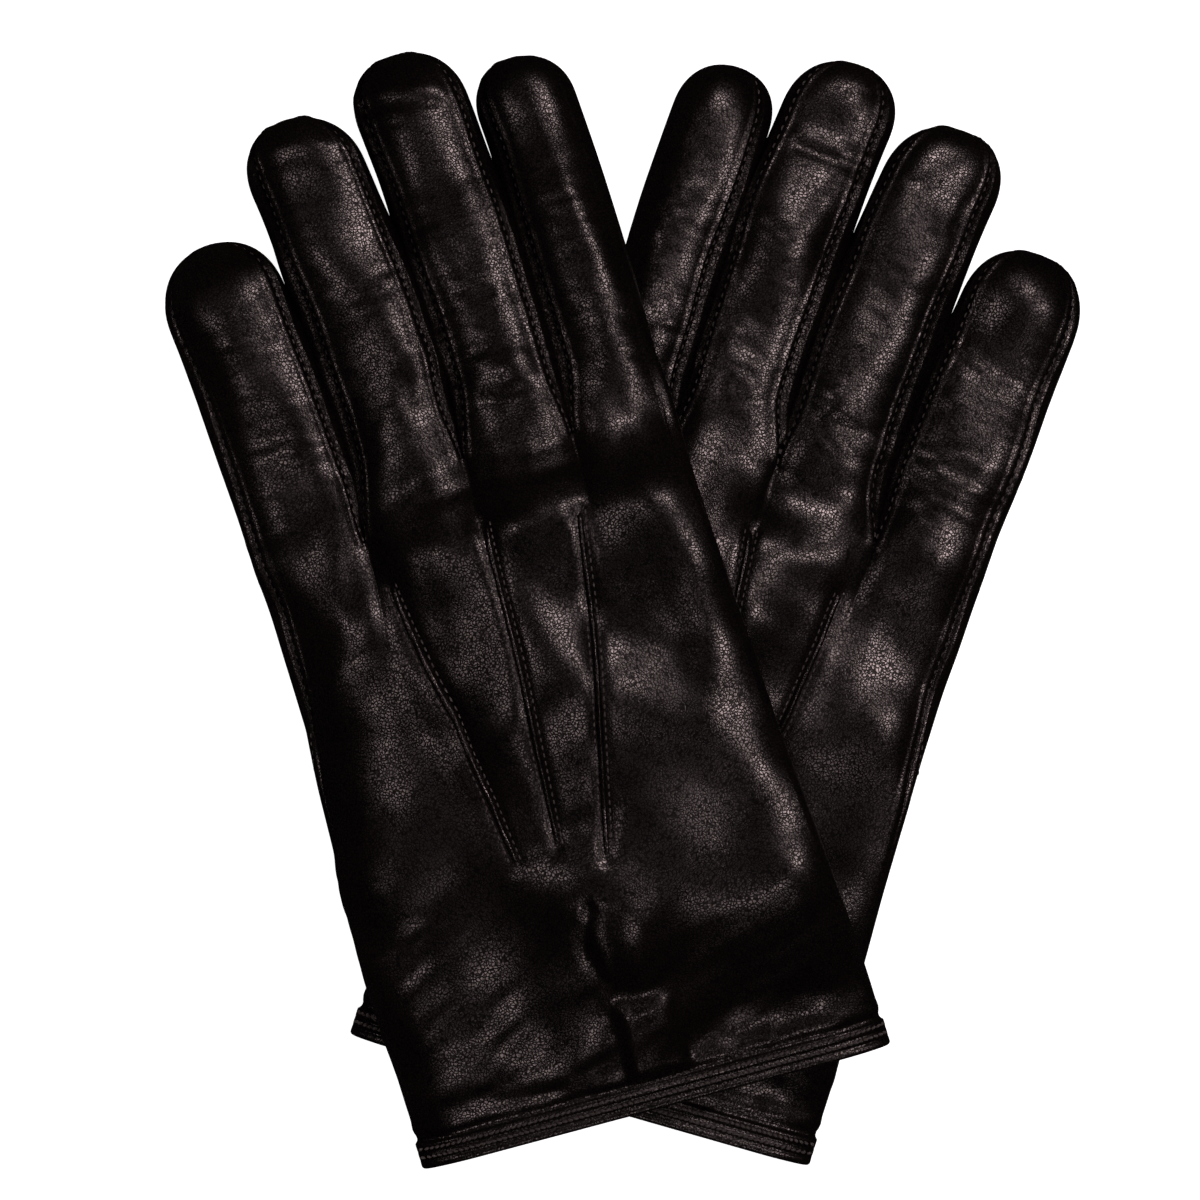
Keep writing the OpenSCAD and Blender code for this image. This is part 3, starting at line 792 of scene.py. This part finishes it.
def patterned(shader, n, pattern, depth, strength, dark, light):
    """Bump and colour that both follow one pattern."""
    n.link(n.bump(pattern, depth, strength), shader.inputs["Normal"])
    n.link(n.colours(pattern, ((0.1, dark), (0.9, light))), shader.inputs["Base Color"])


def lining_material():
    """Dark knitted lining."""
    mat, tree, shader = material("knitted_lining", (0.02, 0.017, 0.018), 0.9, 0.25)
    n = Nodes(tree)
    knit = n.maths("MULTIPLY", n.wave(n.place, 420, "X", 0.6), n.wave(n.place, 520, "Y", 1.2))
    patterned(shader, n, knit, 0.0004, 0.8, (0.012, 0.010, 0.011), (0.034, 0.029, 0.031))
    return mat


def thread_material():
    """Glazed dark sewing thread with its twist; the light colour on the twist's ridges is painted sheen."""
    mat, tree, shader = material("sewing_thread", (0.014, 0.010, 0.010), 0.3)
    n = Nodes(tree)
    twist = n.wave(n.place, 1900, "DIAGONAL", 0.4)
    # The dark stop is the thread's own colour; the light stop on the twist's ridges is painted sheen.
    patterned(shader, n, twist, 0.0001, 0.6, (0.035, 0.027, 0.026), (0.13, 0.10, 0.095))
    return mat


def elastic_material():
    """Ribbed elastic tape."""
    mat, tree, shader = material("wrist_elastic", (0.03, 0.03, 0.03), 0.75)
    n = Nodes(tree)
    rib = n.wave(n.place, 900, "X", 0.3)
    patterned(shader, n, rib, 0.0003, 0.8, (0.018, 0.018, 0.018), (0.05, 0.048, 0.047))
    return mat


leather, lining = leather_material("glove_leather", 0.65), lining_material()
# The strips between the fingers take a copy of the leather that reflects less, as painted shade for the gaps
# between the fingers.
strip_leather_painted_shade = leather_material("fourchette_leather", 0.2)
thread, elastic = thread_material(), elastic_material()


def goes_with_finger(obj):
    """Bakes the object's placing into its mesh; it is not attached to any body."""
    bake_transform(obj)


# ---------------------------------------------------------------- leather pieces and their linings
def leather_pieces(glove):
    side, tags = glove.side, glove.shell.tags
    in_hem = (glove.shell.flat[glove.shell.quads, 1].max(axis=1) < HEM_WIDTH) & \
        (glove.shell.finger[glove.shell.quads[:, 0]] < 0)
    for tag in np.unique(tags):
        chosen = (tags == tag) & ~in_hem
        word, kind = tag.split("_")
        # The strips between the fingers take the leather copy with painted shade.
        skin = strip_leather_painted_shade if kind == "fourchette" else leather
        obj = make_object(f"{side}_{tag}_leather", glove.points, glove.quads[chosen], skin, glove.normals)
        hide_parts(f"{side}_{tag}")
        if word in FINGERS:
            goes_with_finger(obj)
        else:
            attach(obj, f"{side}_hand")
    return in_hem


def hem_piece(glove, in_hem):
    """The hem: its outer face, its rolled edge, and its turned-in inner face."""
    side, shell = glove.side, glove.shell
    ring = shell.hand_rings[0]
    flat, normals = glove.flat[ring], glove.flat_normals[ring] * np.array([1, 0, 1])
    normals /= np.linalg.norm(normals, axis=1, keepdims=True)
    rows = []
    half = HEM_THICKNESS / 2
    for a in np.linspace(0, math.pi, 9)[1:]:
        rows.append(flat - normals * half * (1 - math.cos(a)) - np.array([0, half * math.sin(a), 0]))
    inner = flat - normals * HEM_THICKNESS
    for v in np.linspace(1.5, HEM_WIDTH + 3, 6):
        rows.append(inner + np.array([0, v, 0]))
    extra = np.concatenate(rows)
    count = len(ring)
    points = np.concatenate([glove.points, glove.put(extra, -1)])
    index = np.vstack([ring[None], len(glove.points) + np.arange(len(extra)).reshape(-1, count)])
    inside = quads_between(index, True)[:, [1, 0, 3, 2]]
    quads = np.concatenate([glove.quads[in_hem], glove.turned(inside)])
    obj = make_object(f"{side}_hem_band_leather", points, quads, leather, vertex_normals(points, quads))
    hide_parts(f"{side}_hem_band")
    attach(obj, f"{side}_hand")


def lining_piece(glove, name, rings, finger, inset, closed_tip):
    """An inner skin under rings of the shell, facing inwards."""
    rings = rings[:, ::2]
    index = rings.ravel()
    flat = glove.flat[index] - glove.flat_normals[index] * inset
    rows, columns = rings.shape
    quads = grid_quads(rows, columns, True)[:, ::-1]
    if closed_tip:
        flat = np.vstack([flat, flat[-columns:].mean(axis=0)])
        last = (rows - 1) * columns + np.arange(columns)
        tip = np.full(columns, len(flat) - 1)
        quads = np.concatenate([quads, np.column_stack([tip, np.roll(last, -1), last, last])])
    points = glove.put(flat, finger)
    obj = make_object(f"{glove.side}_{name}_knit", points, glove.turned(quads), lining)
    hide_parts(f"{glove.side}_{name}")
    return obj


def linings(glove):
    shell = glove.shell
    rows = shell.flat[shell.hand_rings[:, 0], 1]
    inside = shell.hand_rings[rows > HEM_WIDTH][::4]
    inside = np.vstack([inside, shell.hand_rings[-1:]])
    obj = lining_piece(glove, "hand_lining", inside, -1, LINING_DEPTH, False)
    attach(obj, f"{glove.side}_hand")
    for k, name in enumerate(FINGERS):
        rings = shell.fingers[name]
        obj = lining_piece(glove, f"{name}_lining", rings[:-10:3], k, LINING_DEPTH, True)
        goes_with_finger(obj)


def elastic_piece(glove):
    """The elastic strip sewn across the inside of the palm at the wrist."""
    u = np.linspace(-30, 24, 40)
    outline = []
    for v, depth in ((58, 0.9), (58, 1.35), (65, 1.35), (65, 0.9)):
        v = np.full_like(u, v)
        outline.append(np.stack([u, v, lift(u, v) + depth], axis=1))
    flat = np.stack(outline, axis=1).reshape(-1, 3)
    points = glove.put(flat, -1)
    quads = glove.turned(grid_quads(len(u), 4, True))
    obj = make_object(f"{glove.side}_wrist_elastic_tape", points, quads, elastic)
    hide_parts(f"{glove.side}_wrist_elastic")
    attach(obj, f"{glove.side}_hand")


# ---------------------------------------------------------------- raised points and stitches
def point_path(glove, a, b, offset, stations):
    t = np.linspace(0, 1, stations)
    u, v = lerp(a[0], b[0], t) + offset, lerp(a[1], b[1], t)
    return glove.on_back(u, v)


def points_piece(glove):
    """Three pinched ridges on the back, which fade at both ends."""
    parts = []
    stations, section = 70, 11
    fade = np.sin(np.linspace(0, math.pi, stations)) ** 0.22
    for a, b in POINTS:
        rows = []
        flat, normals = point_path(glove, a, b, 0, stations)
        for s in np.linspace(-1, 1, section):
            beside, _ = point_path(glove, a, b, s * POINT_WIDTH / 2, stations)
            height = POINT_HEIGHT * (1 - np.abs(s) ** 2.2) * fade - 0.25
            rows.append(beside + normals * height[:, None] + (flat - beside) * (1 - fade)[:, None] * 0.5)
        grid = np.stack(rows, axis=1).reshape(-1, 3)
        points = glove.put(grid, -1)
        quads = grid_quads(stations, section, False)
        parts.append((points, glove.turned(quads)[:, ::-1]))
    points, quads = joined(parts)
    normals = vertex_normals(points, quads)
    obj = make_object(f"{glove.side}_back_points_leather", points, quads, leather, normals)
    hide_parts(f"{glove.side}_back_points")
    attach(obj, f"{glove.side}_hand")


def thread_object(glove, name, parts, body=None):
    points, quads = joined(parts)
    obj = make_object(f"{glove.side}_{name}", points, quads, thread)
    if body:
        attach(obj, body)
    return obj


def stitched(glove, flat, normals, finger, pitch, length, radius, rise, lean=0.0, start=0.6, steepest=0.0):
    """Stitches along a path; none where the surface is steeper than the given upward share."""
    places, ups, along = evenly(flat, normals, pitch, start)
    keep = np.abs(ups[:, 2]) >= steepest
    places, ups, along = places[keep], ups[keep], along[keep]
    points, quads = stitch_mesh(places, ups, along, length, radius, rise, lean)
    return glove.put(points, finger), glove.turned(quads)


def hem_stitches(glove):
    shell = glove.shell
    rows = shell.flat[shell.hand_rings[:, 0], 1]
    parts = []
    for v, lean in ((2.6, 0.4), (4.9, -0.4)):
        ring = shell.hand_rings[np.argmin(np.abs(rows - v))]
        ring = np.append(ring, ring[0])
        parts.append(stitched(glove, glove.flat[ring], glove.flat_normals[ring], -1, 1.35, 1.2, 0.36,
                              0.3, lean, steepest=0.55))
    obj = thread_object(glove, "hem_stitches", parts, f"{glove.side}_hand")
    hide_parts(f"{glove.side}_hem_thread")


def point_stitches(glove):
    parts = []
    for a, b in POINTS:
        for offset in (-POINT_WIDTH / 2 - 0.35, POINT_WIDTH / 2 + 0.35):
            flat, normals = point_path(glove, a, b, offset, 60)
            parts.append(stitched(glove, flat, normals, -1, 1.9, 1.25, 0.2, 0.05))
    obj = thread_object(glove, "point_stitches", parts, f"{glove.side}_hand")
    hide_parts(f"{glove.side}_point_thread")


def seam_stitches(glove):
    """Stitches that show in the seams: the closing seam of the hand, and each finger's seams."""
    shell = glove.shell
    rows = shell.flat[shell.hand_rings[:, 0], 1]
    # Below the little finger's base the closing seam slips over the edge.
    slip = np.round(lerp(DOWN, 0, smooth(rows, 80, 115))).astype(int)
    column = shell.hand_rings[np.arange(len(rows)), -slip][rows > HEM_WIDTH + 1]
    part = stitched(glove, glove.flat[column], glove.flat_normals[column], -1, STITCH_PITCH, 1.3, 0.2, 0.0)
    obj = thread_object(glove, "side_seam_stitches", [part], f"{glove.side}_hand")
    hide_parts(f"{glove.side}_side_seam_thread")
    for k, name in enumerate(FINGERS):
        rings = shell.fingers[name]
        columns = [0, ACROSS, ACROSS + DOWN, 2 * ACROSS + DOWN]
        if name == "index":
            columns = [0, 2 * ACROSS + DOWN]
        if name == "little":
            columns = [0, ACROSS, ACROSS + DOWN]
        parts = []
        for c in columns:
            path = rings[1:-3, c]
            parts.append(stitched(glove, glove.flat[path], glove.flat_normals[path], k, STITCH_PITCH,
                                  1.35, 0.22, 0.08))
        obj = thread_object(glove, f"{name}_seam_stitches", parts)
        goes_with_finger(obj)


# ---------------------------------------------------------------- thumbs
THUMB_MOUTH = (35, 68)
THUMB_TURN = 12
THUMB_LENGTH, THUMB_WIDTH, THUMB_HEIGHT, THUMB_BASE = 72, 26, 5.2, 11.0
THUMB_GAP = 0.2


def thumb_section(glove, inset):
    """Rings of the folded thumb, from its root in the palm to its tip, flat and in the glove's frame."""
    a = math.radians(THUMB_TURN)
    direction, across = np.array([-math.sin(a), math.cos(a)]), np.array([math.cos(a), math.sin(a)])
    ground = float(bed(glove.side, np.array([25.0]), np.array([95.0]))[0]) + THUMB_GAP
    angles = np.linspace(0, 2 * math.pi, 48, endpoint=False)
    cos, sin = (np.sign(f) * np.abs(f) ** 0.6 for f in (np.cos(angles), np.sin(angles)))
    tip_round = THUMB_WIDTH * 0.55
    stations = np.concatenate([np.linspace(-THUMB_BASE, THUMB_LENGTH - tip_round, 60),
                               THUMB_LENGTH - tip_round * (1 - np.sin(np.linspace(0, math.pi / 2, 16)[1:]))])
    rings = []
    for l in stations:
        into = max(0, (l - THUMB_LENGTH + tip_round) / tip_round)
        taper = max(0.02, 1 - into ** 2.3) ** (1 / 2.3)
        root = smooth(np.array(float(l)), -THUMB_BASE, 8)
        half = (THUMB_WIDTH / 2 * lerp(0.66, 1, root) - inset) * taper
        thick = max(0.1, THUMB_HEIGHT / 2 - inset) * lerp(0.35, 1, taper)
        middle = lerp(THUMB_LIFT - 0.4, THUMB_HEIGHT / 2, root)
        plan = np.array(THUMB_MOUTH) + l * direction + half * cos[:, None] * across
        wrinkle = 0.16 * waves(77, np.stack([plan[:, 0], plan[:, 1] * 1.6], axis=1), 9)
        height = ground + middle + thick * sin * lerp(0.4, 1, root)
        height = np.minimum(height + wrinkle * (sin < 0) * root, ground + THUMB_HEIGHT + 0.35)
        rings.append(np.column_stack([plan, np.maximum(height, ground)]))
    return np.array(rings)


def thumb_pieces(glove):
    """The folded thumb: the leather above, the leather below and the lining inside them."""
    side = glove.side
    for name, inset, half in (("thumb_top", 0, 0), ("thumb_underside", 0, 1), ("thumb_lining", 1.0, None)):
        rings = thumb_section(glove, inset)
        rows, columns = rings.shape[:2]
        points = placed(side, rings.reshape(-1, 3))
        quads = grid_quads(rows, columns, True)
        knit = half is None
        facing = glove.turned(quads[:, ::-1] if knit else quads)[:, ::-1]
        cells = slice(None) if knit else np.tile(np.arange(columns) // (columns // 2) == half, rows - 1)
        word, mat = ("knit", lining) if knit else ("leather", leather)
        normals = vertex_normals(points, facing)
        obj = make_object(f"{side}_{name}_{word}", points, facing[cells], mat, normals)
        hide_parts(f"{side}_{name}")
        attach(obj, f"{side}_thumb")


for side in SIDES:
    glove = Glove(side)
    hem_cells = leather_pieces(glove)
    hem_piece(glove, hem_cells)
    linings(glove)
    elastic_piece(glove)
    points_piece(glove)
    hem_stitches(glove)
    point_stitches(glove)
    seam_stitches(glove)
    thumb_pieces(glove)


# ---------------------------------------------------------------- floor, lights and camera
WARM = (1, 0.92, 0.935)
# The floor is a hair below the lowest leather, so that the two never share a plane.
FLOOR = -0.0002


def area_light(name, place, size, power):
    """A soft light that looks at the middle of the pair."""
    data = bpy.data.lights.new(name, "AREA")
    data.shape = "RECTANGLE"
    data.size, data.size_y = size
    data.energy = power
    data.color = WARM
    obj = bpy.data.objects.new(name, data)
    obj.location = place
    obj.rotation_euler = (-Vector(place)).to_track_quat("-Z", "Y").to_euler()
    bpy.context.scene.collection.objects.link(obj)


def floor():
    mesh = bpy.data.meshes.new("floor")
    corners = [(-3, -3, FLOOR), (3, -3, FLOOR), (3, 3, FLOOR), (-3, 3, FLOOR)]
    mesh.from_pydata(corners, [], [(0, 1, 2, 3)])
    obj = bpy.data.objects.new("floor", mesh)
    bpy.context.scene.collection.objects.link(obj)
    mat, _, shader = material("white_sweep", (0.9, 0.9, 0.9), 0.9)
    shader.inputs["Emission Color"].default_value = (1, 1, 1, 1)
    shader.inputs["Emission Strength"].default_value = 1.0
    mesh.materials.append(mat)
    # The leather doesn't mirror the sweep, as if the gloves' sides were flagged off.
    obj.visible_glossy = False


floor()
area_light("top", (0.15, 0.5, 1.0), (0.3, 0.1), 2.5)
area_light("left", (-0.55, 0.1, 0.95), (0.1, 0.3), 0.7)
area_light("right", (0.5, 0.05, 1.0), (0.1, 0.3), 2.4)
area_light("front", (0.05, -0.55, 1.0), (0.3, 0.1), 0.8)
world = bpy.data.worlds.new("studio")
world.use_nodes = True
world.node_tree.nodes["Background"].inputs["Color"].default_value = (1, 1, 1, 1)
world.node_tree.nodes["Background"].inputs["Strength"].default_value = 0.004
bpy.context.scene.world = world

VIEW_CENTRE = (-0.0056, 0.0027)
VIEW_WIDTH = 0.2856
LENS, SENSOR = 100, 36
camera = bpy.data.objects.new("camera", bpy.data.cameras.new("camera"))
camera.data.lens = LENS
camera.data.sensor_width = SENSOR
camera.location = (*VIEW_CENTRE, VIEW_WIDTH * LENS / SENSOR + 0.02)
bpy.context.scene.collection.objects.link(camera)
bpy.context.scene.camera = camera
bpy.context.scene.view_settings.view_transform = "Standard"
